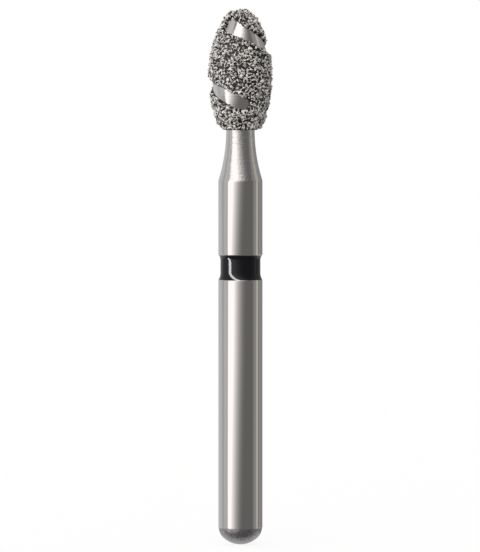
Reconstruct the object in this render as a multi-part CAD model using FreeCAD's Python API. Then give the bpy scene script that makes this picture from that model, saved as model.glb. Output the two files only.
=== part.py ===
import FreeCAD, Part
import math
import os
import random

from FreeCAD import Vector

# Diamond bur for a dental turbine: a plain cylindrical shank with a rounded end, a lacquered
# colour ring, a flared neck and an egg-shaped head coated with coarse diamond grit. A left-hand
# spiral channel without grit winds down the head to carry water and debris away.
#
# Lengths are millimetres. The bur stands upright with the lowest point of its rounded end at
# the origin and its cutting head at the top. Angles around the bur are in degrees from the
# front (-Y), growing towards the right (+X).

# Shank
shank_diameter = 1.60
shank_length = 13.23
end_dome_radius = 0.905
end_corner_radius = 0.50
shoulder_rounding = 0.30

# Groove of the colour ring, and the lacquer in it
ring_height = 9.64
ring_width = 0.90
groove_depth = 0.16
groove_rim_chamfer = 0.03
lacquer_sink = 0.075
lacquer_sag = 0.004
lower_meniscus = 0.24
upper_meniscus = 0.12

# Neck, which flares into the shank along one arc
neck_diameter = 1.032
neck_length = 1.78

# Steel core of the head: a long arc and a small end arc above its widest place, and two below.
# The tail's lengths are those of a whole egg, before the neck cuts its end off.
core_diameter = 2.04
core_nose = 2.21
core_nose_radius = 0.58
core_tail = 2.30
core_tail_radius = 0.73

# Nickel skin that holds the grit, and the part of each crystal that stands out of it.
# No two crystals are alike: the twist, top size and height of each are drawn from these ranges.
bond_thickness = 0.09
grain_height = 0.105
grain_radii = (0.088, 0.074, 0.06)
grain_gap = 0.004
grain_twists = (48.0, 72.0)
grain_top_shares = (0.7, 0.95)
grain_height_shares = (0.7, 1.0)
throws_per_size = 5000
grain_seed = 23

# Spiral channel: a strip of the core left without nickel and grit, with a rounded lower end
channel_width = 0.60
channel_pitch = 2.67
channel_front_drop = 0.605
channel_top_drop = 0.115
channel_bottom_rise = 0.79
channel_end_angle = 370.0
channel_end_radius = 0.20

# The tool that cuts the channel reaches this far past the grit, and starts this early
tool_reach = 0.5
tool_lead_in = 10.0

# Two heights nearer than this are the same height
same_height = 0.001

shank_radius = shank_diameter / 2
neck_radius = neck_diameter / 2
core_radius = core_diameter / 2
tail_height = shank_length + neck_length
neck_in_tail = core_tail - core_tail_radius + math.sqrt(core_tail_radius ** 2 - neck_radius ** 2)
belly_height = tail_height + neck_in_tail
tip_height = belly_height + core_nose
channel_top = tip_height - channel_top_drop
channel_bottom = tail_height + channel_bottom_rise
channel_front_height = tip_height - channel_front_drop
vertical_axis = Vector(0, 0, 1)
origin = Vector(0, 0, 0)


def point(radius, height):
    return Vector(radius, 0, height)


def around(radius, angle, height):
    """Point at a distance from the axis, at an angle from the front."""
    turn = math.radians(angle)
    return Vector(radius * math.sin(turn), -radius * math.cos(turn), height)


def line(start, end):
    return Part.LineSegment(start, end).toShape()


def arc(start, middle, end):
    return Part.Arc(start, middle, end).toShape()


def on_circle(centre, radius, degrees):
    turn = math.radians(degrees)
    return centre + point(radius * math.cos(turn), radius * math.sin(turn))


def turned(edges):
    """Solid turned from the edges of a closed half section."""
    section = Part.Face(Part.Wire(Part.__sortEdges__(edges)))
    return section.revolve(origin, vertical_axis, 360)


def turned_in_quarters(edges):
    """The same solid with its faces in quarters, so that one cut by a spiral needs fewer facets."""
    section = Part.Face(Part.Wire(Part.__sortEdges__(edges)))
    quarters = []
    for turn in (0, 90, 180, 270):
        side = section.copy()
        side.rotate(origin, vertical_axis, turn)
        quarters.append(side.revolve(origin, vertical_axis, 90))
    return quarters[0].multiFuse(quarters[1:])


def save(shape, name):
    shape.exportStep("parts/" + name + ".step")
    print(name, "solids", len(shape.Solids), "volume", round(shape.Volume, 4), "valid", shape.isValid())


# Egg outlines. The core and the nickel on it are parallel, so their arcs share centres.


def half_egg(upward):
    """End centre, side centre and side radius of one half of the core, seen from its widest place."""
    length = core_nose if upward else core_tail
    end_radius = core_nose_radius if upward else core_tail_radius
    side = core_radius ** 2 + length ** 2 - 2 * length * end_radius
    side_radius = side / (2 * (core_radius - end_radius))
    sign = 1 if upward else -1
    end_centre = point(0, belly_height + sign * (length - end_radius))
    side_centre = point(core_radius - side_radius, belly_height)
    return end_centre, side_centre, end_radius, side_radius


def lean_between(start, end):
    """Direction from one point of the half section to another, in degrees above level."""
    return math.degrees(math.atan2(end.z - start.z, end.x - start.x))


def egg_arcs(growth, base_height):
    """Arcs of the egg, grown by a layer and cut off level at the base."""
    arcs = []
    for upward in (True, False):
        end_centre, side_centre, end_radius, side_radius = half_egg(upward)
        lean = lean_between(side_centre, end_centre)
        last = 90
        if not upward:
            last = -math.degrees(math.asin((end_centre.z - base_height) / (end_radius + growth)))
        for centre, radius, start, stop in (
            (side_centre, side_radius + growth, 0, lean),
            (end_centre, end_radius + growth, lean, last),
        ):
            spots = [on_circle(centre, radius, degrees) for degrees in (start, (start + stop) / 2, stop)]
            arcs.append(arc(*spots))
    return arcs


def egg_radius(growth, height):
    """Radius of the grown egg at a height."""
    upward = height > belly_height
    end_centre, side_centre, end_radius, side_radius = half_egg(upward)
    meeting = on_circle(end_centre, end_radius + growth, lean_between(side_centre, end_centre))
    in_end = height > meeting.z if upward else height < meeting.z
    centre, radius = (end_centre, end_radius) if in_end else (side_centre, side_radius)
    return centre.x + math.sqrt((radius + growth) ** 2 - (height - centre.z) ** 2)


# Spiral channel


def channel_centre(angle):
    return channel_front_height - channel_pitch * angle / 360


def channel_tool():
    """Everything inside the channel, from near the axis to well outside the head."""
    inner = egg_radius(0, channel_top) / 2
    outer = core_radius + bond_thickness + grain_height + tool_reach
    half_width = channel_width / 2
    start_angle = (channel_front_height - channel_top - half_width) / channel_pitch * 360 - tool_lead_in
    sweep_height = channel_centre(start_angle) - channel_centre(channel_end_angle)
    spine = Part.makeLongHelix(channel_pitch, sweep_height, core_radius, 0, True)
    corners = [
        Vector(inner, 0, -half_width),
        Vector(outer, 0, -half_width),
        Vector(outer, 0, half_width),
        Vector(inner, 0, half_width),
        Vector(inner, 0, -half_width),
    ]
    sweep = Part.BRepOffsetAPI.MakePipeShell(Part.Wire(spine.Edges))
    sweep.setFrenetMode(True)
    sweep.add(Part.makePolygon(corners))
    sweep.build()
    sweep.makeSolid()
    band = Part.Solid(sweep.shape())
    band.rotate(origin, vertical_axis, channel_end_angle - 90)
    band.translate(Vector(0, 0, channel_centre(channel_end_angle)))
    end_start = around(inner, channel_end_angle, channel_bottom + channel_end_radius)
    outward = around(1, channel_end_angle, 0)
    rounded_end = Part.makeCylinder(channel_end_radius, outer - inner, end_start, outward)
    slab = Part.makeCylinder(
        outer + tool_reach, channel_top - channel_bottom, point(0, channel_bottom), vertical_axis
    )
    return band.common(slab).fuse(rounded_end)


def near_channel(angle, height, reach):
    """Whether a spot lies in the channel or nearer to it than the reach."""
    if height < channel_bottom - reach or height > channel_top + reach:
        return False
    half_width = channel_width / 2 + reach
    last_angle = channel_end_angle + math.degrees((channel_end_radius + reach) / core_radius)
    for turns in (-1, 0, 1):
        whole_angle = angle + 360 * turns
        if whole_angle < last_angle and abs(height - channel_centre(whole_angle)) < half_width:
            return True
    return False


# Steel blank


def end_dome():
    """Domed end, its rounded corner and where the straight shank begins."""
    dome_centre = point(0, end_dome_radius)
    corner_across = shank_radius - end_corner_radius
    between = end_dome_radius - end_corner_radius
    corner_down = math.sqrt(between ** 2 - corner_across ** 2)
    corner_centre = dome_centre + point(corner_across, -corner_down)
    lean = math.degrees(math.atan2(-corner_down, corner_across))
    meeting = on_circle(dome_centre, end_dome_radius, lean)
    shank_start = on_circle(corner_centre, end_corner_radius, 0)
    dome = arc(origin, on_circle(dome_centre, end_dome_radius, (lean - 90) / 2), meeting)
    corner = arc(meeting, on_circle(corner_centre, end_corner_radius, lean / 2), shank_start)
    return [dome, corner], shank_start


def ring_groove():
    """Groove with chamfered rims, and where the shank stops below it and goes on above it."""
    rim_radius = shank_radius - groove_rim_chamfer
    floor_radius = shank_radius - groove_depth
    low_wall = ring_height
    high_wall = ring_height + ring_width
    spots = [
        point(shank_radius, low_wall - groove_rim_chamfer),
        point(rim_radius, low_wall),
        point(floor_radius, low_wall),
        point(floor_radius, high_wall),
        point(rim_radius, high_wall),
        point(shank_radius, high_wall + groove_rim_chamfer),
    ]
    return [line(start, end) for start, end in zip(spots, spots[1:])], spots[0], spots[-1]


def neck_flare():
    """Concave arc from the shoulder, ending upright where the core begins."""
    drop = shank_radius - neck_radius
    flare_radius = (drop ** 2 + neck_length ** 2) / (2 * drop)
    centre = point(neck_radius + flare_radius, tail_height)
    sweep = math.degrees(math.asin(neck_length / flare_radius))
    shoulder = point(shank_radius, shank_length)
    middle = on_circle(centre, flare_radius, 180 + sweep / 2)
    return arc(shoulder, middle, point(neck_radius, tail_height)), shoulder


def shoulder_edges(shape):
    """Edges of the circle where the straight shank meets the flare."""
    found = []
    for edge in shape.Edges:
        low_miss = abs(edge.BoundBox.ZMin - shank_length)
        high_miss = abs(edge.BoundBox.ZMax - shank_length)
        if max(low_miss, high_miss) < same_height:
            found.append(edge)
    return found


def steel_blank():
    dome, shank_start = end_dome()
    groove, groove_start, groove_end = ring_groove()
    flare, shoulder = neck_flare()
    lower_shank = line(shank_start, groove_start)
    upper_shank = line(groove_end, shoulder)
    axis = line(origin, point(0, tip_height))
    outline = dome + [lower_shank] + groove + [upper_shank, flare] + egg_arcs(0, tail_height) + [axis]
    blank = turned(outline)
    return blank.makeFillet(shoulder_rounding, shoulder_edges(blank))


# Lacquer ring


def meniscus(wall, level, creep):
    """Concave arc by which the lacquer climbs the wall of its groove."""
    climb = lacquer_sink - groove_rim_chamfer
    radius = (creep ** 2 + climb ** 2) / (2 * climb)
    side = 1 if level > wall else -1
    centre = point(shank_radius - lacquer_sink + radius, level)
    half_turn = math.degrees(math.asin(creep / radius)) / 2
    middle = on_circle(centre, radius, 180 + side * half_turn)
    rim = point(shank_radius - groove_rim_chamfer, wall)
    return arc(rim, middle, point(shank_radius - lacquer_sink, level))


def colour_ring():
    low_wall = ring_height
    high_wall = ring_height + ring_width
    floor_radius = shank_radius - groove_depth
    rim_radius = shank_radius - groove_rim_chamfer
    face_radius = shank_radius - lacquer_sink
    low_level = low_wall + lower_meniscus
    high_level = high_wall - upper_meniscus
    waist = point(face_radius - lacquer_sag, (low_level + high_level) / 2)
    edges = [
        line(point(floor_radius, low_wall), point(rim_radius, low_wall)),
        meniscus(low_wall, low_level, lower_meniscus),
        arc(point(face_radius, low_level), waist, point(face_radius, high_level)),
        meniscus(high_wall, high_level, upper_meniscus),
        line(point(rim_radius, high_wall), point(floor_radius, high_wall)),
        line(point(floor_radius, high_wall), point(floor_radius, low_wall)),
    ]
    return turned(edges)


# Nickel skin and the diamond crystals on it


def nickel_bond():
    inner = egg_arcs(0, tail_height)
    outer = egg_arcs(bond_thickness, tail_height)
    outer_end = point(egg_radius(bond_thickness, tail_height), tail_height)
    end_face = line(point(neck_radius, tail_height), outer_end)
    tip = line(point(0, tip_height), point(0, tip_height + bond_thickness))
    skin = turned_in_quarters(inner + outer + [end_face, tip])
    return skin.cut(channel_tool())


def outward_at(angle, height):
    """Direction straight out of the nickel's surface."""
    upward = height > belly_height
    end_centre, side_centre, end_radius, side_radius = half_egg(upward)
    radius = egg_radius(bond_thickness, height)
    lean = lean_between(side_centre, point(radius, height))
    end_lean = lean_between(side_centre, end_centre)
    if abs(lean) > abs(end_lean):
        lean = lean_between(end_centre, point(radius, height))
    turn = math.radians(lean)
    return around(math.cos(turn), angle, math.sin(turn))


def crystal(seat, outward, base_radius, chance):
    """Blocky crystal on the nickel: a triangle below, a twisted and tilted one above, eight faces."""
    side = outward.cross(Vector(1, 0, 0) if abs(outward.z) > abs(outward.x) else vertical_axis)
    side.normalize()
    upright = side.cross(outward)
    turn = chance.uniform(0, 120)
    twist = chance.uniform(*grain_twists)
    top_radius = base_radius * chance.uniform(*grain_top_shares)
    full_height = grain_height * math.sqrt(base_radius / max(grain_radii))
    low = []
    high = []
    for corner in range(3):
        low_turn = math.radians(turn + 120 * corner)
        high_turn = math.radians(turn + twist + 120 * corner)
        low_side = side * math.cos(low_turn) + upright * math.sin(low_turn)
        high_side = side * math.cos(high_turn) + upright * math.sin(high_turn)
        low.append(seat + low_side * base_radius)
        rise = full_height * chance.uniform(*grain_height_shares)
        high.append(seat + high_side * top_radius + outward * rise)
    triangles = [low, high]
    for corner in range(3):
        after = (corner + 1) % 3
        triangles.append([low[corner], low[after], high[corner]])
        triangles.append([high[corner], high[after], low[after]])
    faces = [Part.Face(Part.makePolygon(three + three[:1])) for three in triangles]
    return Part.Solid(Part.Shell(faces))


def scattered_seats(chance):
    """Seats thrown at random on the nickel, largest crystals first, each clear of those before."""
    seats = []
    for radius in grain_radii:
        for throw in range(throws_per_size):
            height = chance.uniform(tail_height + radius, tip_height + bond_thickness)
            angle = chance.uniform(0, 360)
            if near_channel(angle, height, radius):
                continue
            seat = around(egg_radius(bond_thickness, height), angle, height)
            if all(seat.distanceToPoint(other) > radius + taken + grain_gap for other, taken, _ in seats):
                seats.append((seat, radius, outward_at(angle, height)))
    return seats


def diamond_grit():
    chance = random.Random(grain_seed)
    crystals = [crystal(seat, outward, radius, chance) for seat, radius, outward in scattered_seats(chance)]
    return Part.makeCompound(crystals)


os.makedirs("parts", exist_ok=True)
save(steel_blank(), "steel_blank")
save(colour_ring(), "colour_ring")
save(nickel_bond(), "nickel_bond")
save(diamond_grit(), "diamond_grit")
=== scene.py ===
import bmesh
import bpy
import math
import random
from mathutils import Matrix, Vector, noise


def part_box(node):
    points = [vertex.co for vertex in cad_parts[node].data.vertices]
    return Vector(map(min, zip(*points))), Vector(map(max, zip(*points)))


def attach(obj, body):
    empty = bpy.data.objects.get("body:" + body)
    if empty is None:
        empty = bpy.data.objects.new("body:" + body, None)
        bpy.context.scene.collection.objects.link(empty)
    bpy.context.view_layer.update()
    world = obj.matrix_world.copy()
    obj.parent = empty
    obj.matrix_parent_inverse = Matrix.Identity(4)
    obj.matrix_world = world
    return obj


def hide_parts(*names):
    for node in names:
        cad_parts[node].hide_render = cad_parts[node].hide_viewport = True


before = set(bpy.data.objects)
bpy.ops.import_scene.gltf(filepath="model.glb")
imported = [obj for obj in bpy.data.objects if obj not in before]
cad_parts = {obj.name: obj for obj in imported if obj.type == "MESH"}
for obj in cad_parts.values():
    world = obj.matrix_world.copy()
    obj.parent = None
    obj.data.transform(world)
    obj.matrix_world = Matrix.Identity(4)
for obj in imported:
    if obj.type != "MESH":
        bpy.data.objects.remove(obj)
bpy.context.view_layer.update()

mm = 0.001  # the frame is in metres, all settings below in millimetres
weldDistance = 1e-4
shortestEdge = 1e-5
print("frame loaded:", sorted(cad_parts))


# Colours, nodes and meshes

def hexColour(code, strength=1.0):  # sRGB hex to the linear values that the shaders use
    parts = [int(code[i:i + 2], 16) / 255 for i in (1, 3, 5)]
    linear = [p / 12.92 if p <= 0.04045 else ((p + 0.055) / 1.055) ** 2.4 for p in parts]
    return [p * strength for p in linear] + [1.0]


def addNode(tree, kind, settings=None, values=None, links=None):
    node = tree.nodes.new(kind)
    for name, value in (settings or {}).items():
        setattr(node, name, value)
    for socket, value in (values or {}).items():
        node.inputs[socket].default_value = value
    for socket, source in (links or {}).items():
        tree.links.new(source, node.inputs[socket])
    return node


def newMaterial(name):
    material = bpy.data.materials.new(name)
    material.use_nodes = True
    material.node_tree.nodes.clear()
    return material, material.node_tree


def finishMaterial(tree, shader):
    addNode(tree, "ShaderNodeOutputMaterial", links={"Surface": shader.outputs["BSDF"]})


def newPiece(name, bm, materials, sharpOver=30):
    mesh = bpy.data.meshes.new(name)
    bm.to_mesh(mesh)
    bm.free()
    for material in materials:
        mesh.materials.append(material)
    mesh.shade_smooth()
    mesh.set_sharp_from_angle(angle=math.radians(sharpOver))
    piece = bpy.data.objects.new(name, mesh)
    bpy.context.scene.collection.objects.link(piece)
    return piece


# Outlines are drawn in the XZ plane, x being the distance from the bur's axis

def startAt(bm, x, z):
    return bm.verts.new((x * mm, 0, z * mm))


def lineTo(bm, last, x, z):
    point = bmesh.ops.extrude_vert_indiv(bm, verts=[last])["verts"][0]
    point.co = (x * mm, 0, z * mm)
    return point


def arcTo(bm, last, centre, sweep, steps):  # positive sweeps turn anticlockwise
    turned = bmesh.ops.spin(bm, geom=[last], cent=(centre[0] * mm, 0, centre[1] * mm),
                            axis=(0, -1, 0), dvec=(0, 0, 0), angle=math.radians(sweep), steps=steps)
    return [item for item in turned["geom_last"] if isinstance(item, bmesh.types.BMVert)][0]


def lathe(bm, steps):
    bmesh.ops.spin(bm, geom=bm.verts[:] + bm.edges[:], cent=(0, 0, 0), axis=(0, 0, 1),
                   dvec=(0, 0, 0), angle=math.tau, steps=steps, use_merge=True)
    bmesh.ops.remove_doubles(bm, verts=bm.verts[:], dist=weldDistance * mm)
    bmesh.ops.dissolve_degenerate(bm, edges=bm.edges[:], dist=shortestEdge * mm)
    bmesh.ops.recalc_face_normals(bm, faces=bm.faces[:])


# Sizes that the frame gives
ringLow, ringHigh = [corner.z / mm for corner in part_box("colour_ring")]
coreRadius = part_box("steel_blank")[1].x / mm
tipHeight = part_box("steel_blank")[1].z / mm
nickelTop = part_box("nickel_bond")[1].z / mm
bondThickness = nickelTop - tipHeight
gritRise = 0.06  # the photograph's grit ends this much higher on the neck than the CAD nickel
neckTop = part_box("nickel_bond")[0].z / mm + gritRise

shank = {
    "radius": 0.80,
    "shoulderHeight": 13.23,
    "shoulderRounding": 0.30,
    "neckRadius": 0.516,
    "grooveRadius": 0.64,
    "lip": 0.008,           # steel left bright between the lacquer and the shank
    "lipHeight": 0.025,
    "endDomeRadius": 0.905,
    "endCornerRadius": 0.50,
    "endStep": 0.014,       # the blasted end is a hair thinner than the ground shank
    "endStepRounding": 0.012,
    "domeSteps": 24,
    "cornerSteps": 12,
    "roundingSteps": 6,
    "shoulderSteps": 10,
    "flareSteps": 30,
    "turns": 224,
}

head = {
    "noseLength": 2.21,
    "noseEndRadius": 0.58,
    "tailLength": 2.30,
    "tailEndRadius": 0.73,
    "arcSteps": 26,
}
bellyHeight = tipHeight - head["noseLength"]  # where the head is widest

channel = {
    "width": 0.60,
    "pitch": 2.67,
    "frontHeight": tipHeight - 0.605,
    "top": tipHeight - 0.115,
    "bottom": neckTop + 0.73,
    "startAngle": -74,
    "startSlope": 0.65,     # the first part climbs less as the tool runs in
    "endAngle": 370,
    "endRadius": 0.20,
}


# The steel's four finishes: ground shank, blasted end, finely turned neck and turned core

steels = {
    "ringSpacing": 0.05,    # marks of the grinding wheel
    "ringDrift": 60,        # how quickly they change round the shank, for each metre
    "feedSpacing": 0.055,   # marks of the turning tool
    "feedDrift": 150,
    "speckSize": 0.08,
    "grainSize": 0.07,      # dents of the blasting beads
    "scratchReach": 0.012,  # half the width of a dull ring
    "scratchRoughness": 0.28,
    "fineTurnedStainlessSteel": {"hex": "#C4C2C0", "markDepth": 1.0, "roughest": 0.12,
                                 "speckShare": 1.0, "scratches": (14.815, 14.600)},
    # painted light: the core's grey is a shade lighter than the neck's, standing for the extra key
    # light on it
    "turnedStainlessSteel": {"hex": "#CBC9C7", "markDepth": 0.45, "roughest": 0.17,
                             "speckShare": 0.3, "scratches": ()},
}


def groundSteel():
    # Stainless steel, centreless ground and polished: a clean dark mirror with hair-fine rings
    material, tree = newMaterial("groundStainlessSteel")
    place = addNode(tree, "ShaderNodeTexCoord")
    drift, spacing = steels["ringDrift"], steels["ringSpacing"]
    ringScale = addNode(tree, "ShaderNodeMapping",
                        values={"Scale": (drift, drift, 1 / (spacing * mm))},
                        links={"Vector": place.outputs["Object"]})
    rings = addNode(tree, "ShaderNodeTexNoise",
                    values={"Scale": 1.0, "Detail": 3.0, "Roughness": 0.6},
                    links={"Vector": ringScale.outputs["Vector"]})
    rough = addNode(tree, "ShaderNodeMapRange", values={"To Min": 0.02, "To Max": 0.06},
                    links={"Value": rings.outputs["Fac"]})
    bump = addNode(tree, "ShaderNodeBump", values={"Strength": 0.015, "Distance": 0.004 * mm},
                   links={"Height": rings.outputs["Fac"]})
    shader = addNode(tree, "ShaderNodeBsdfPrincipled",
                     values={"Base Color": hexColour("#C2C0BE"), "Metallic": 1.0},
                     links={"Roughness": rough.outputs["Result"], "Normal": bump.outputs["Normal"]})
    finishMaterial(tree, shader)
    return material


def turnedSteel(name):
    # Stainless steel left from the lathe: the same mirror broken up by tool marks and specks,
    # with dull rings where it was scratched
    finish = steels[name]
    material, tree = newMaterial(name)
    place = addNode(tree, "ShaderNodeTexCoord")
    drift, spacing = steels["feedDrift"], steels["feedSpacing"]
    feedScale = addNode(tree, "ShaderNodeMapping",
                        values={"Scale": (drift, drift, 1 / (spacing * mm))},
                        links={"Vector": place.outputs["Object"]})
    feed = addNode(tree, "ShaderNodeTexNoise",
                   values={"Scale": 1.0, "Detail": 4.0, "Roughness": 0.65},
                   links={"Vector": feedScale.outputs["Vector"]})
    specks = addNode(tree, "ShaderNodeTexNoise",
                     values={"Scale": 1 / (steels["speckSize"] * mm), "Detail": 2.0},
                     links={"Vector": place.outputs["Object"]})
    rough = addNode(tree, "ShaderNodeMapRange",
                    values={"From Min": 0.35, "From Max": 0.7,
                            "To Min": finish["roughest"] / 2, "To Max": finish["roughest"]},
                    links={"Value": feed.outputs["Fac"]})
    along = addNode(tree, "ShaderNodeSeparateXYZ", links={"Vector": place.outputs["Object"]})
    worn = rough.outputs["Result"]
    for scratch in finish["scratches"]:
        ring = addNode(tree, "ShaderNodeMath", {"operation": "COMPARE"},
                       {1: scratch * mm, 2: steels["scratchReach"] * mm}, {0: along.outputs["Z"]})
        worn = addNode(tree, "ShaderNodeMath", {"operation": "MULTIPLY_ADD"},
                       {1: steels["scratchRoughness"]},
                       {0: ring.outputs["Value"], 2: worn}).outputs["Value"]
    height = addNode(tree, "ShaderNodeMath", {"operation": "MULTIPLY_ADD"},
                     {1: finish["speckShare"]},
                     {0: specks.outputs["Fac"], 2: feed.outputs["Fac"]})
    bump = addNode(tree, "ShaderNodeBump",
                   values={"Strength": finish["markDepth"], "Distance": 0.006 * mm},
                   links={"Height": height.outputs["Value"]})
    shader = addNode(tree, "ShaderNodeBsdfPrincipled",
                     values={"Base Color": hexColour(finish["hex"]), "Metallic": 1.0},
                     links={"Roughness": worn, "Normal": bump.outputs["Normal"]})
    finishMaterial(tree, shader)
    return material


def blastedSteel():
    # Bead-blasted stainless steel: matt, fine-grained, darker than the ground shank
    material, tree = newMaterial("blastedStainlessSteel")
    place = addNode(tree, "ShaderNodeTexCoord")
    grain = addNode(tree, "ShaderNodeTexNoise",
                    values={"Scale": 1 / (steels["grainSize"] * mm), "Detail": 3.0},
                    links={"Vector": place.outputs["Object"]})
    rough = addNode(tree, "ShaderNodeMapRange", values={"To Min": 0.30, "To Max": 0.50},
                    links={"Value": grain.outputs["Fac"]})
    bump = addNode(tree, "ShaderNodeBump", values={"Strength": 1.0, "Distance": 0.012 * mm},
                   links={"Height": grain.outputs["Fac"]})
    pits = addNode(tree, "ShaderNodeMapRange", values={"From Min": 0.35, "From Max": 0.65},
                   links={"Value": grain.outputs["Fac"]})
    tone = addNode(tree, "ShaderNodeMix", {"data_type": "RGBA"},
                   {"A": hexColour("#838183"), "B": hexColour("#A6A4A6")},
                   {"Factor": pits.outputs["Result"]})
    shader = addNode(tree, "ShaderNodeBsdfPrincipled", values={"Metallic": 1.0},
                     links={"Base Color": tone.outputs["Result"],
                            "Roughness": rough.outputs["Result"], "Normal": bump.outputs["Normal"]})
    finishMaterial(tree, shader)
    return material


# Head outline: an egg of two arcs above its widest place and two below, grown by each layer

def halfEgg(upward):
    length = head["noseLength"] if upward else head["tailLength"]
    endRadius = head["noseEndRadius"] if upward else head["tailEndRadius"]
    side = coreRadius ** 2 + length ** 2 - 2 * length * endRadius
    sideRadius = side / (2 * (coreRadius - endRadius))
    sign = 1 if upward else -1
    endCentre = (0, bellyHeight + sign * (length - endRadius))
    sideCentre = (coreRadius - sideRadius, bellyHeight)
    lean = math.degrees(math.atan2(endCentre[1] - sideCentre[1], endCentre[0] - sideCentre[0]))
    return endCentre, sideCentre, endRadius, sideRadius, lean


def eggRadius(height, growth):
    upward = height > bellyHeight
    endCentre, sideCentre, endRadius, sideRadius, lean = halfEgg(upward)
    meeting = endCentre[1] + (endRadius + growth) * math.sin(math.radians(lean))
    inEnd = height > meeting if upward else height < meeting
    centre, radius = (endCentre, endRadius) if inEnd else (sideCentre, sideRadius)
    return centre[0] + math.sqrt(max(0, (radius + growth) ** 2 - (height - centre[1]) ** 2))


def eggOutline(bm, last, growth):  # from the neck to the tip
    tailEnd, tailSide, tailRadius, _, tailLean = halfEgg(False)
    noseEnd, noseSide, _, _, noseLean = halfEgg(True)
    start = -math.degrees(math.asin((tailEnd[1] - neckTop) / (tailRadius + growth)))
    steps = head["arcSteps"]
    last = arcTo(bm, last, tailEnd, tailLean - start, steps)
    last = arcTo(bm, last, tailSide, -tailLean, steps)
    last = arcTo(bm, last, noseSide, noseLean, steps)
    return arcTo(bm, last, noseEnd, 90 - noseLean, steps)


def aroundAxis(radius, angle, height):  # angles in degrees from the front, growing to the right
    turn = math.radians(angle)
    return Vector((radius * math.sin(turn), -radius * math.cos(turn), height)) * mm


# The steel blank: one bar, ground, turned and blasted

def steelBlank():
    bm = bmesh.new()
    radius, groove = shank["radius"], shank["grooveRadius"]
    dome, corner, edge = shank["endDomeRadius"], shank["endCornerRadius"], shank["endStepRounding"]
    across = radius - shank["endStep"] - corner
    down = math.sqrt((dome - corner) ** 2 - across ** 2)
    domeLean = math.degrees(math.atan2(-down, across))
    cornerHeight = dome - down
    last = startAt(bm, 0, 0)
    last = arcTo(bm, last, (0, dome), 90 + domeLean, shank["domeSteps"])
    last = arcTo(bm, last, (across, cornerHeight), -domeLean, shank["cornerSteps"])
    last = lineTo(bm, last, radius - edge, cornerHeight)
    last = arcTo(bm, last, (radius - edge, cornerHeight + edge), 90, shank["roundingSteps"])
    blastedTop = cornerHeight + edge / 4

    lip, lipHeight = shank["lip"], shank["lipHeight"]
    for x, z in ((radius, ringLow - lipHeight), (radius - lip / 3, ringLow - lipHeight / 3),
                 (radius - lip, ringLow), (groove, ringLow),
                 (groove, ringHigh), (radius - lip, ringHigh),
                 (radius - lip / 3, ringHigh + lipHeight / 3), (radius, ringHigh + lipHeight)):
        last = lineTo(bm, last, x, z)

    # the flare is one arc, and the shoulder before it another that touches both
    neckRadius, shoulder = shank["neckRadius"], shank["shoulderHeight"]
    drop, rise = radius - neckRadius, neckTop - shoulder
    flare = (drop ** 2 + rise ** 2) / (2 * drop)
    flareX = neckRadius + flare
    rounding = shank["shoulderRounding"]
    roundX = radius - rounding
    roundZ = neckTop - math.sqrt((flare + rounding) ** 2 - (flareX - roundX) ** 2)
    lean = math.degrees(math.atan2(neckTop - roundZ, flareX - roundX))
    last = lineTo(bm, last, radius, roundZ)
    last = arcTo(bm, last, (roundX, roundZ), lean, shank["shoulderSteps"])
    last = arcTo(bm, last, (flareX, neckTop), -lean, shank["flareSteps"])
    last = lineTo(bm, last, eggRadius(neckTop, 0), neckTop)
    eggOutline(bm, last, 0)
    lathe(bm, shank["turns"])

    finishes = [groundSteel(), blastedSteel(), turnedSteel("fineTurnedStainlessSteel"),
                turnedSteel("turnedStainlessSteel")]
    tops = ((blastedTop, 1), (shoulder, 0), (neckTop, 2), (math.inf, 3))  # and each one's finish
    for face in bm.faces:
        height = face.calc_center_median().z / mm
        face.material_index = [slot for top, slot in tops if height < top][0]
    return newPiece("turnedBlank", bm, finishes)


# The colour ring: lacquer run into the groove, which climbs the walls as it dries

lacquer = {
    "sink": 0.075,
    "lowerMeniscus": 0.25,
    "upperMeniscus": 0.19,
    "meniscusSteps": 12,
    "rippleSize": 0.35,
    "turns": 224,
}


def blackLacquer():
    # Stoved black lacquer: wet-looking, near black with a faint blue, sharp reflections
    material, tree = newMaterial("blackStovedLacquer")
    place = addNode(tree, "ShaderNodeTexCoord")
    ripple = addNode(tree, "ShaderNodeTexNoise",
                     values={"Scale": 1 / (lacquer["rippleSize"] * mm), "Detail": 1.0},
                     links={"Vector": place.outputs["Object"]})
    bump = addNode(tree, "ShaderNodeBump", values={"Strength": 0.05, "Distance": 0.01 * mm},
                   links={"Height": ripple.outputs["Fac"]})
    shader = addNode(tree, "ShaderNodeBsdfPrincipled",
                     values={"Base Color": hexColour("#191A1F"), "Roughness": 0.02, "IOR": 1.3},
                     links={"Normal": bump.outputs["Normal"]})
    finishMaterial(tree, shader)
    return material


def colourRing():
    bm = bmesh.new()
    faceRadius = shank["radius"] - lacquer["sink"]
    edgeRadius = shank["radius"] - shank["lip"]
    climb = edgeRadius - faceRadius

    def meniscus(last, creep, level):  # level is where the flat face begins
        bend = (creep ** 2 + climb ** 2) / (2 * climb)
        sweep = math.degrees(math.asin(creep / bend))
        return arcTo(bm, last, (faceRadius + bend, level), -sweep, lacquer["meniscusSteps"])

    lowLevel = ringLow + lacquer["lowerMeniscus"]
    highLevel = ringHigh - lacquer["upperMeniscus"]
    last = startAt(bm, shank["grooveRadius"], ringLow)
    last = lineTo(bm, last, edgeRadius, ringLow)
    last = meniscus(last, lacquer["lowerMeniscus"], lowLevel)
    last = lineTo(bm, last, faceRadius, highLevel)
    last = meniscus(last, lacquer["upperMeniscus"], highLevel)
    lineTo(bm, last, shank["grooveRadius"], ringHigh)
    lathe(bm, lacquer["turns"])
    return newPiece("lacquerRing", bm, [blackLacquer()], sharpOver=50)


# The nickel skin, cut through by the spiral channel

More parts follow.
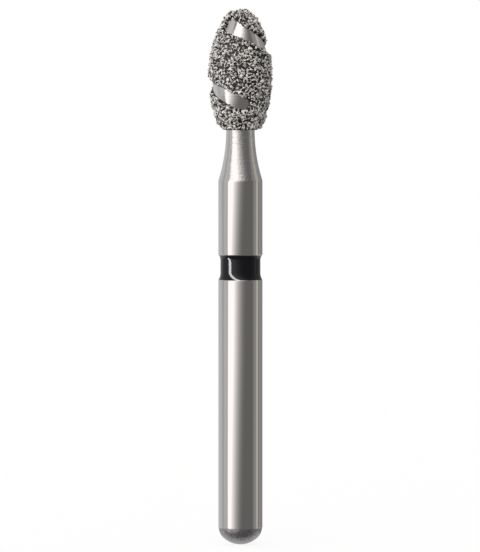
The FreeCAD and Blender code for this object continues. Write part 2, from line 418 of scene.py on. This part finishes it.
nickel = {
    "turns": 240,
    "sunkInSteel": 0.03,
    "swell": 0.022,         # depth of the knobbly surface
    "swellSize": 0.16,
    "swellMiddle": 0.5,     # distance from a knob's middle, in its sizes, that stays level
    "stillRim": 0.01,       # the lowest rim has no knobs
    "tuckHeight": 0.22,     # near the neck the skin thins out under the crystals
    "tuck": 0.08,
    "pebbleSize": 0.045,
    "sharpOver": 50,
    "toolInner": 0.30,
    "toolReach": 1.9,
    "spiralSteps": 300,
    "runInSteps": 60,
    "endSegments": 48,
}


def platedNickel():
    # Galvanic nickel, pebbled where it grew round the crystals; its satin grey is painted much
    # darker than the metal's own, as painted shade for the gaps between crystals
    material, tree = newMaterial("galvanicNickel")
    place = addNode(tree, "ShaderNodeTexCoord")
    pebbles = addNode(tree, "ShaderNodeTexNoise",
                      values={"Scale": 1 / (nickel["pebbleSize"] * mm), "Detail": 3.0},
                      links={"Vector": place.outputs["Object"]})
    rough = addNode(tree, "ShaderNodeMapRange", values={"To Min": 0.35, "To Max": 0.60},
                    links={"Value": pebbles.outputs["Fac"]})
    bump = addNode(tree, "ShaderNodeBump", values={"Strength": 0.6, "Distance": 0.012 * mm},
                   links={"Height": pebbles.outputs["Fac"]})
    # painted shade: the nickel's grey is darkened to stand for the shade in the gaps between
    # crystals
    shader = addNode(tree, "ShaderNodeBsdfPrincipled",
                     values={"Base Color": hexColour("#45423F"), "Metallic": 1.0},
                     links={"Roughness": rough.outputs["Result"], "Normal": bump.outputs["Normal"]})
    finishMaterial(tree, shader)
    return material


def channelCentre(angle):
    slope = channel["startSlope"] if angle < 0 else 1
    return channel["frontHeight"] - channel["pitch"] * angle / 360 * slope


def cutter(name, bm):
    bmesh.ops.recalc_face_normals(bm, faces=bm.faces[:])
    return newPiece(name, bm, [])


def spiralTool(name, startAngle, endAngle, steps):
    half = channel["width"] / 2
    inner, outer = nickel["toolInner"], nickel["toolReach"]
    middle = channelCentre(startAngle)
    bm = bmesh.new()
    corners = [bm.verts.new(aroundAxis(radius, startAngle, middle + side * half))
               for radius, side in ((inner, -1), (outer, -1), (outer, 1), (inner, 1))]
    end = bm.faces.new(corners)
    fall = (channelCentre(endAngle) - middle) * mm / steps
    bmesh.ops.spin(bm, geom=[end] + end.edges[:] + end.verts[:], cent=(0, 0, 0), axis=(0, 0, 1),
                   dvec=(0, 0, fall), angle=math.radians(endAngle - startAngle), steps=steps,
                   use_duplicate=False)
    for height, up in ((channel["top"], 1), (channel["bottom"], -1)):
        cut = bmesh.ops.bisect_plane(bm, geom=bm.verts[:] + bm.edges[:] + bm.faces[:],
                                     plane_co=(0, 0, height * mm), plane_no=(0, 0, up),
                                     clear_outer=True)
        rim = [item for item in cut["geom_cut"] if isinstance(item, bmesh.types.BMEdge)]
        bmesh.ops.holes_fill(bm, edges=rim)
    return cutter(name, bm)


def channelTools():  # one for the run-in, one for the spiral and one for its rounded end
    tools = [spiralTool("runInTool", channel["startAngle"], 0, nickel["runInSteps"]),
             spiralTool("spiralTool", 0, channel["endAngle"], nickel["spiralSteps"])]
    reach = nickel["toolReach"] - nickel["toolInner"]
    endRadius, endAngle = channel["endRadius"], channel["endAngle"]
    bm = bmesh.new()
    bmesh.ops.create_cone(bm, cap_ends=True, segments=nickel["endSegments"],
                          radius1=endRadius * mm, radius2=endRadius * mm, depth=reach * mm)
    outward = aroundAxis(1, endAngle, 0).normalized()
    stand = outward.to_track_quat("Z", "Y").to_matrix().to_4x4()
    centre = aroundAxis(nickel["toolInner"] + reach / 2, endAngle, channel["bottom"] + endRadius)
    bmesh.ops.transform(bm, matrix=Matrix.Translation(centre) @ stand, verts=bm.verts[:])
    return tools + [cutter("endTool", bm)]


def nickelSkin():
    bm = bmesh.new()
    innerRadius = eggRadius(neckTop, -nickel["sunkInSteel"])
    last = startAt(bm, innerRadius, neckTop)
    last = lineTo(bm, last, eggRadius(neckTop, bondThickness), neckTop)
    eggOutline(bm, last, bondThickness)
    inner = startAt(bm, innerRadius, neckTop)
    eggOutline(bm, inner, -nickel["sunkInSteel"])
    lathe(bm, nickel["turns"])
    size = nickel["swellSize"] * mm
    for vert in bm.verts:
        height = vert.co.z / mm
        radius = vert.co.xy.length / mm
        if radius <= eggRadius(height, bondThickness / 2):  # the inner wall stays as it is
            continue
        if height > neckTop + nickel["stillRim"]:  # knobs where nickel grew over small crystals
            distances = noise.voronoi(vert.co / size)[0]
            rise = nickel["swell"] * mm * (nickel["swellMiddle"] - distances[0])
            vert.co += vert.normal * rise
        low = 1 - (height - neckTop) / nickel["tuckHeight"]
        if low > 0:
            vert.co.xy *= 1 - nickel["tuck"] * low ** 2 / radius
    skin = newPiece("nickelSkin", bm, [platedNickel()])
    tools = channelTools()
    for tool in tools:
        cut = skin.modifiers.new(tool.name, "BOOLEAN")
        cut.operation = "DIFFERENCE"
        cut.solver = "EXACT"
        cut.object = tool
    bpy.context.view_layer.update()
    cutSkin = skin.evaluated_get(bpy.context.evaluated_depsgraph_get())
    skin.data = bpy.data.meshes.new_from_object(cutSkin)
    skin.modifiers.clear()
    for tool in tools:
        bpy.data.objects.remove(tool)
    skin.data.shade_smooth()
    skin.data.set_sharp_from_angle(angle=math.radians(nickel["sharpOver"]))
    return skin


# The diamond grit: crushed, blocky crystals half sunk in the nickel

grit = {
    "kinds": 24,            # different crystals
    "cornersPerCrystal": 12,
    "cornerReach": (0.85, 1.0),  # from a crystal's centre, in radii
    "depths": (0.75, 1.0),  # of a crystal, as shares of its width
    "heights": (0.65, 0.95),
    "radii": (0.118, 0.100, 0.082, 0.064),
    "throwsPerSize": 9000,
    "packing": 0.48,        # share of two crystals' radii that keeps them apart
    "sink": (-0.35, 0.0),   # how far a crystal's centre stands off the nickel, in radii
    "overNeck": 0.85,       # least height of a crystal's centre over the neck, in radii
    "clearOfChannel": 0.12,
    "overStart": 12,        # degrees by which crystals hang over the channel's start
    "chip": (-95, 38, 0.12),  # angle, spread and height of a bare patch by the neck
    "crown": ((-82, 0.10), (-128, 0.11), (108, 0.10)),  # angle, and drop from the nickel's top
    "crownLift": 0.15,      # these stand proud, in radii
    "crystalTones": (-1.72, -1.02),
    "facetTones": (-0.15, 0.35),
    "footShadeShare": 0.20,     # painted shade: crystals are darker at the foot, in the shade between them
    "flawSize": 0.052,
    "flawShare": 1.5,
    "edgeSize": 0.125,
    "glintLineWidth": 0.031,     # painted highlight: bright glint lines along the cell borders
    "glintLineShare": 1.9,
    "seed": 7,
}


def diamondCrystals():
    # Crushed synthetic diamond, glassy and flawed: every facet and every flaw shows its own random
    # grey, with painted glint lines along cell borders and painted shade at each crystal's foot, so
    # the grit glitters from near white to near black
    material, tree = newMaterial("crushedDiamond")
    place = addNode(tree, "ShaderNodeTexCoord")
    flaws = addNode(tree, "ShaderNodeTexVoronoi", {"feature": "F1"},
                    {"Scale": 1 / (grit["flawSize"] * mm)}, {"Vector": place.outputs["Object"]})
    flaw = addNode(tree, "ShaderNodeSeparateColor", links={"Color": flaws.outputs["Color"]})
    borders = addNode(tree, "ShaderNodeTexVoronoi", {"feature": "DISTANCE_TO_EDGE"},
                      {"Scale": 1 / (grit["edgeSize"] * mm)}, {"Vector": place.outputs["Object"]})
    # painted highlight: bright glint lines along the borders of large cells
    glintLines = addNode(tree, "ShaderNodeMapRange",
                   values={"From Min": grit["glintLineWidth"] / grit["edgeSize"], "From Max": 0.0,
                           "To Max": grit["glintLineShare"]},
                   links={"Value": borders.outputs["Distance"]})
    facet = addNode(tree, "ShaderNodeAttribute", {"attribute_name": "facetTone"})
    # painted shade: each crystal is darker towards its foot and lighter at its top
    stand = addNode(tree, "ShaderNodeAttribute", {"attribute_name": "footShadeHeight"})
    toneWithFootShade = addNode(tree, "ShaderNodeMath", {"operation": "MULTIPLY_ADD"},
                     {1: grit["footShadeShare"]}, {0: stand.outputs["Fac"], 2: facet.outputs["Fac"]})
    mottled = addNode(tree, "ShaderNodeMath", {"operation": "MULTIPLY_ADD"},
                      {1: grit["flawShare"]}, {0: flaw.outputs["Red"], 2: toneWithFootShade.outputs["Value"]})
    shade = addNode(tree, "ShaderNodeMath", {"operation": "ADD", "use_clamp": True},
                    links={0: mottled.outputs["Value"], 1: glintLines.outputs["Result"]})
    tone = addNode(tree, "ShaderNodeMix", {"data_type": "RGBA"},
                   {"A": hexColour("#0F0E0D"), "B": hexColour("#FCFAF5")},
                   {"Factor": shade.outputs["Value"]})
    shader = addNode(tree, "ShaderNodeBsdfPrincipled", values={"Roughness": 0.18, "IOR": 1.9},
                     links={"Base Color": tone.outputs["Result"]})
    finishMaterial(tree, shader)
    return material


def crystalKind(chance):
    bm = bmesh.new()
    for corner in range(grit["cornersPerCrystal"]):
        direction = Vector([chance.gauss(0, 1) for axis in range(3)]).normalized()
        bm.verts.new(direction * chance.uniform(*grit["cornerReach"]))
    hull = bmesh.ops.convex_hull(bm, input=bm.verts[:])
    inside = set(hull["geom_interior"] + hull["geom_unused"])
    bmesh.ops.delete(bm, geom=list(inside), context="VERTS")
    depth, height = chance.uniform(*grit["depths"]), chance.uniform(*grit["heights"])
    bmesh.ops.scale(bm, vec=(1.0, depth, height), verts=bm.verts[:])
    mesh = bpy.data.meshes.new("crystalKind")
    bm.to_mesh(mesh)
    bm.free()
    return mesh


def nearChannel(angle, height, reach):
    if height < channel["bottom"] - reach or height > channel["top"] + reach:
        return False
    half = channel["width"] / 2 + reach
    firstAngle = channel["startAngle"] + grit["overStart"]
    lastAngle = channel["endAngle"] + math.degrees((channel["endRadius"] + reach) / coreRadius)
    return any(firstAngle < angle + 360 * turns < lastAngle
               and abs(height - channelCentre(angle + 360 * turns)) < half for turns in (-1, 0, 1))


def crystalSeats(chance):  # thrown at random, the largest first, each clear of those before it
    biggest = max(grit["radii"])
    besides = (-1, 0, 1)
    seats, cells = [], {}

    def seatAt(angle, height):
        return aroundAxis(eggRadius(height, bondThickness), angle, height) / mm

    def cellOf(seat):
        return tuple(int(part // (2 * biggest)) for part in seat)

    def take(seat, radius, angle, height):
        cells.setdefault(cellOf(seat), []).append((seat, radius))
        seats.append((seat, radius, angle, height))

    for angle, drop in grit["crown"]:
        take(seatAt(angle, nickelTop - drop), biggest, angle, nickelTop - drop)
    chipAngle, chipSpread, chipHeight = grit["chip"]
    for radius in grit["radii"]:
        for throw in range(grit["throwsPerSize"]):
            height = chance.uniform(neckTop + radius * grit["overNeck"], nickelTop)
            angle = chance.uniform(0, 360)
            low = height - radius < neckTop + chipHeight
            if low and abs(angle - 360 - chipAngle) < chipSpread:
                continue
            if nearChannel(angle, height, radius * grit["clearOfChannel"]):
                continue
            seat = seatAt(angle, height)
            x, y, z = cellOf(seat)
            near = [other for right in besides for back in besides for up in besides
                    for other in cells.get((x + right, y + back, z + up), ())]
            if all((seat - other).length > (radius + taken) * grit["packing"]
                   for other, taken in near):
                take(seat, radius, angle, height)
    return seats


def outwardAt(angle, height):  # straight out of the nickel
    step = 0.01
    slope = eggRadius(height + step, bondThickness) - eggRadius(height - step, bondThickness)
    return aroundAxis(1, angle, -slope / (2 * step)).normalized()


def diamondGrit():
    chance = random.Random(grit["seed"])
    kinds = [crystalKind(chance) for kind in range(grit["kinds"])]
    seats = crystalSeats(chance)
    bm = bmesh.new()
    tones = bm.faces.layers.float.new("facetTone")
    footShadeHeight = bm.verts.layers.float.new("footShadeHeight")
    for count, (seat, radius, angle, height) in enumerate(seats):
        outward = outwardAt(angle, height)
        firstVert, firstFace = len(bm.verts), len(bm.faces)
        bm.from_mesh(chance.choice(kinds))
        bm.verts.ensure_lookup_table()
        roll, spin = [Matrix.Rotation(chance.uniform(0, math.tau), 4, axis) for axis in "XZ"]
        inCrown = count < len(grit["crown"])
        lift = radius * (grit["crownLift"] if inCrown else chance.uniform(*grit["sink"]))
        place = Matrix.Translation((seat + outward * lift) * mm) @ Matrix.Scale(radius * mm, 4)
        bmesh.ops.transform(bm, matrix=place @ (roll @ spin), verts=bm.verts[firstVert:])
        for vert in bm.verts[firstVert:]:
            # heights for the painted shade at the crystals' feet
            vert[footShadeHeight] = (vert.co / mm - seat).dot(outward) / radius
        bm.faces.ensure_lookup_table()
        crystalTone = chance.uniform(*grit["crystalTones"])
        for face in bm.faces[firstFace:]:
            face[tones] = crystalTone + chance.uniform(*grit["facetTones"])
    print("crystals:", len(seats))
    for kind in kinds:
        bpy.data.meshes.remove(kind)
    return newPiece("diamondGrit", bm, [diamondCrystals()], sharpOver=5)


# Floor, light and camera

floor = {
    "size": 4000.0,
    "hex": "#5C5C5B",
    "ownLight": 0.88,       # lifts the board to the white of a light table, and no further
}


def paleFloor():
    # Matt painted board, lit from below: even and nearly white
    bm = bmesh.new()
    bmesh.ops.create_grid(bm, x_segments=1, y_segments=1, size=floor["size"] * mm / 2)
    material, tree = newMaterial("paleMattBoard")
    shader = addNode(tree, "ShaderNodeBsdfPrincipled",
                     values={"Base Color": hexColour(floor["hex"]), "Roughness": 0.9,
                             "Emission Color": hexColour("#FFFFFF"),
                             "Emission Strength": floor["ownLight"]})
    finishMaterial(tree, shader)
    board = newPiece("paleFloor", bm, [material])
    # the polished shank and the grit see the tent's shaded table instead of the bright board
    board.visible_glossy = board.visible_diffuse = False
    return board


# The light tent, as cards round the bur. A later card stands before an earlier one, the ceiling
# and the table before them, and the key light before all. Sides are in degrees from the camera's
# side, growing to the right, and heights in degrees above the horizon. A card fades out over the
# soft degrees outside its sides and heights; the ceiling and the table fade in from their first
# height to their second. A lean moves a side so many degrees to the right with every degree of
# height: below the horizon, above it, and the extra above leanChange.
tent = {
    "wall": {"hex": "#E6E6E8", "light": 1.0},
    "leanChange": 28,
    "cards": {
        "leftBackWall": {"sides": (-400, -160), "soft": (1, 14), "hex": "#FFFFFF", "light": 0.60},
        "leftWallSeam": {"sides": (-106, -100), "soft": (16, 10), "hex": "#FFFFFF", "light": 0.62},
        "gapByKey": {"sides": (-84, -76), "soft": (4, 4), "hex": "#FFFFFF", "light": 0.75},
        "darkFlag": {"sides": (-50, 116), "soft": (10, 8), "hex": "#FFFDFA", "light": 0.21},
        "rightWall": {"sides": (129, 400), "soft": (11, 1), "hex": "#FBF6FF", "light": 0.38},
        "rightBackWall": {"sides": (162, 400), "soft": (8, 1), "hex": "#FBF6FF", "light": 0.15},
        "flagEdge": {"sides": (79, 95), "soft": (15, 8), "hex": "#FFFDFA", "light": 0.40},
        "fillStrip": {"sides": (94, 101), "soft": (7, 14), "hex": "#FFFDEE", "light": 0.72,
                      "leans": ((0, 0.25, 0), (0, 0.25, 0))},
    },
    "ceiling": {"heights": (58, 76), "hex": "#FFFFFF", "light": 0.95},
    "table": {
        "heights": (-8, -24),
        "share": 0.8,
        "frontHalf": {"edge": (-0.35, 0.0), "hex": "#FFFFFF", "light": 0.20},
        "backHalf": {"edge": (0.0, -0.45), "hex": "#FFFFFF", "light": 1.2},
    },
    "key": {
        "sides": (-66, -39),
        "soft": (4, 73),
        "fade": 2.4,        # its right side fades like this power of the way across
        "leans": ((0.22, 0.22, 0.75), (1.2, 0.65, 0.7)),
        "heights": (-21, 60),
        "softHeights": (12, 6),
        "hex": "#FFFAFA",
        "light": 1.9,
    },
}


def lightTent():
    world = bpy.data.worlds.new("lightTent")
    bpy.context.scene.world = world
    world.use_nodes = True
    tree = world.node_tree
    tree.nodes.clear()
    way = addNode(tree, "ShaderNodeTexCoord")
    parts = addNode(tree, "ShaderNodeSeparateXYZ", links={"Vector": way.outputs["Generated"]})

    def reckon(operation, *given):
        values = {place: part for place, part in enumerate(given) if isinstance(part, (int, float))}
        links = {place: part for place, part in enumerate(given) if place not in values}
        node = addNode(tree, "ShaderNodeMath", {"operation": operation}, values, links)
        return node.outputs["Value"]

    front = reckon("MULTIPLY", parts.outputs["Y"], -1.0)
    azimuth = reckon("DEGREES", reckon("ARCTAN2", parts.outputs["X"], front))
    elevation = reckon("DEGREES", reckon("ARCSINE", parts.outputs["Z"]))
    below, above = reckon("MINIMUM", elevation, 0.0), reckon("MAXIMUM", elevation, 0.0)
    high = reckon("MAXIMUM", reckon("SUBTRACT", elevation, tent["leanChange"]), 0.0)

    def edge(angle, start, stop, curve="SMOOTHSTEP"):
        return addNode(tree, "ShaderNodeMapRange", {"interpolation_type": curve},
                       {"From Min": start, "From Max": stop}, {"Value": angle}).outputs["Result"]

    def leaning(lean):
        side = azimuth
        for height, amount in zip((below, above, high), lean):
            side = reckon("MULTIPLY_ADD", height, -amount, side)
        return side

    def cardMask(card):
        (start, stop), (rise, fall) = card["sides"], card["soft"]
        left, right = [leaning(lean) for lean in card.get("leans", ((0, 0, 0), (0, 0, 0)))]
        fading = edge(right, stop + fall, stop, "LINEAR" if "fade" in card else "SMOOTHSTEP")
        mask = reckon("MULTIPLY", edge(left, start - rise, start),
                      reckon("POWER", fading, card.get("fade", 1.0)))
        if "heights" in card:
            (low, top), (lowFall, topFall) = card["heights"], card["softHeights"]
            mask = reckon("MULTIPLY", mask, edge(elevation, low - lowFall, low))
            mask = reckon("MULTIPLY", mask, edge(elevation, top + topFall, top))
        return mask

    def paint(mask, under, card):
        return addNode(tree, "ShaderNodeMix", {"data_type": "RGBA"},
                       {"B": hexColour(card["hex"], card["light"])},
                       {"Factor": mask, "A": under}).outputs["Result"]

    wall, ceiling, table, key = [tent[part] for part in ("wall", "ceiling", "table", "key")]
    wallColour = addNode(tree, "ShaderNodeRGB")
    shade = wallColour.outputs["Color"]
    shade.default_value = hexColour(wall["hex"], wall["light"])
    for card in tent["cards"].values():
        shade = paint(cardMask(card), shade, card)
    shade = paint(edge(elevation, *ceiling["heights"]), shade, ceiling)
    # the dark half of the table is in front of the bur and its lit half behind
    low = reckon("MULTIPLY", edge(elevation, *table["heights"]), table["share"])
    for half in (table["frontHalf"], table["backHalf"]):
        shade = paint(reckon("MULTIPLY", low, edge(front, *half["edge"])), shade, half)
    shade = paint(cardMask(key), shade, key)

    tentLight = addNode(tree, "ShaderNodeBackground", links={"Color": shade})
    backdrop = addNode(tree, "ShaderNodeBackground", values={"Color": hexColour("#FFFFFF")})
    path = addNode(tree, "ShaderNodeLightPath")
    seen = addNode(tree, "ShaderNodeMixShader",
                   links={0: path.outputs["Is Camera Ray"], 1: tentLight.outputs["Background"],
                          2: backdrop.outputs["Background"]})
    addNode(tree, "ShaderNodeOutputWorld", links={"Surface": seen.outputs["Shader"]})


# A strip light, leaning to the right, that is flagged off everything but the glossy ring
strip = {
    "distance": 500.0,
    "azimuth": -61.5,       # where it crosses the horizon
    "slope": 63.0,
    "from": -35.0,          # degrees along it, from the horizon
    "to": 75.0,
    "width": 14.0,
    "light": 25.0,
    "powerPerArea": 4,      # for each unit of light, so that it counts like the cards' light
}


def stripLight(ring):
    start, slope = math.radians(strip["azimuth"]), math.radians(strip["slope"])
    onHorizon = Vector((math.sin(start), -math.cos(start), 0))
    level = Vector((math.cos(start), math.sin(start), 0))
    climb = level * math.cos(slope) + Vector((0, 0, math.sin(slope)))
    middle = math.radians((strip["from"] + strip["to"]) / 2)
    outward = onHorizon * math.cos(middle) + climb * math.sin(middle)
    along = climb * math.cos(middle) - onHorizon * math.sin(middle)
    halfWidth = math.radians(strip["width"] / 2)
    halfLength = math.radians((strip["to"] - strip["from"]) / 2)
    data = bpy.data.lights.new("stripLight", "AREA")
    data.shape = "RECTANGLE"
    data.size = 2 * strip["distance"] * mm * math.tan(halfWidth) / math.cos(middle)
    data.size_y = 2 * strip["distance"] * mm * math.tan(halfLength)
    data.energy = strip["light"] * strip["powerPerArea"] * data.size * data.size_y
    light = bpy.data.objects.new("stripLight", data)
    turn = Matrix((along.cross(outward), along, outward)).transposed().to_4x4()
    place = outward * strip["distance"] * mm + Vector((0, 0, ringLow * mm))
    light.matrix_world = Matrix.Translation(place) @ turn
    light.visible_diffuse = False
    bpy.context.scene.collection.objects.link(light)
    lit = bpy.data.collections.new("litByStrip")
    lit.objects.link(ring)
    light.light_linking.receiver_collection = lit


camera = {
    "lens": 328.8,
    "sensor": 36.0,
    "distance": 183.0,
    "elevation": 2.6,
    "aimX": -0.0145,
    "aimHeight": 9.769,
    "nearest": 1.0,
    "farthest": 100000.0,
}


def photoCamera():
    data = bpy.data.cameras.new("photoCamera")
    data.sensor_fit = "VERTICAL"
    data.sensor_height = camera["sensor"]
    data.lens = camera["lens"]
    data.clip_start, data.clip_end = camera["nearest"] * mm, camera["farthest"] * mm
    view = bpy.data.objects.new("photoCamera", data)
    up = math.radians(camera["elevation"])
    aim = Vector((camera["aimX"], 0, camera["aimHeight"]))
    view.location = (aim + Vector((0, -math.cos(up), math.sin(up))) * camera["distance"]) * mm
    view.rotation_euler = (math.radians(90) - up, 0, 0)
    bpy.context.scene.collection.objects.link(view)
    bpy.context.scene.camera = view


photoCamera()
lightTent()
bpy.context.scene.view_settings.view_transform = "Standard"
paleFloor()
print("floor, light and camera made")

made = (
    (steelBlank, "steel_blank", "stainless_steel"),
    (colourRing, "colour_ring", "black_lacquer"),
    (nickelSkin, "nickel_bond", "plated_nickel"),
    (diamondGrit, "diamond_grit", "diamond"),
)
for make, node, slotName in made:
    piece = make()
    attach(piece, "root")
    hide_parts(node)
    print(piece.name, "made:", len(piece.data.polygons), "faces")
    if make is colourRing:
        stripLight(piece)
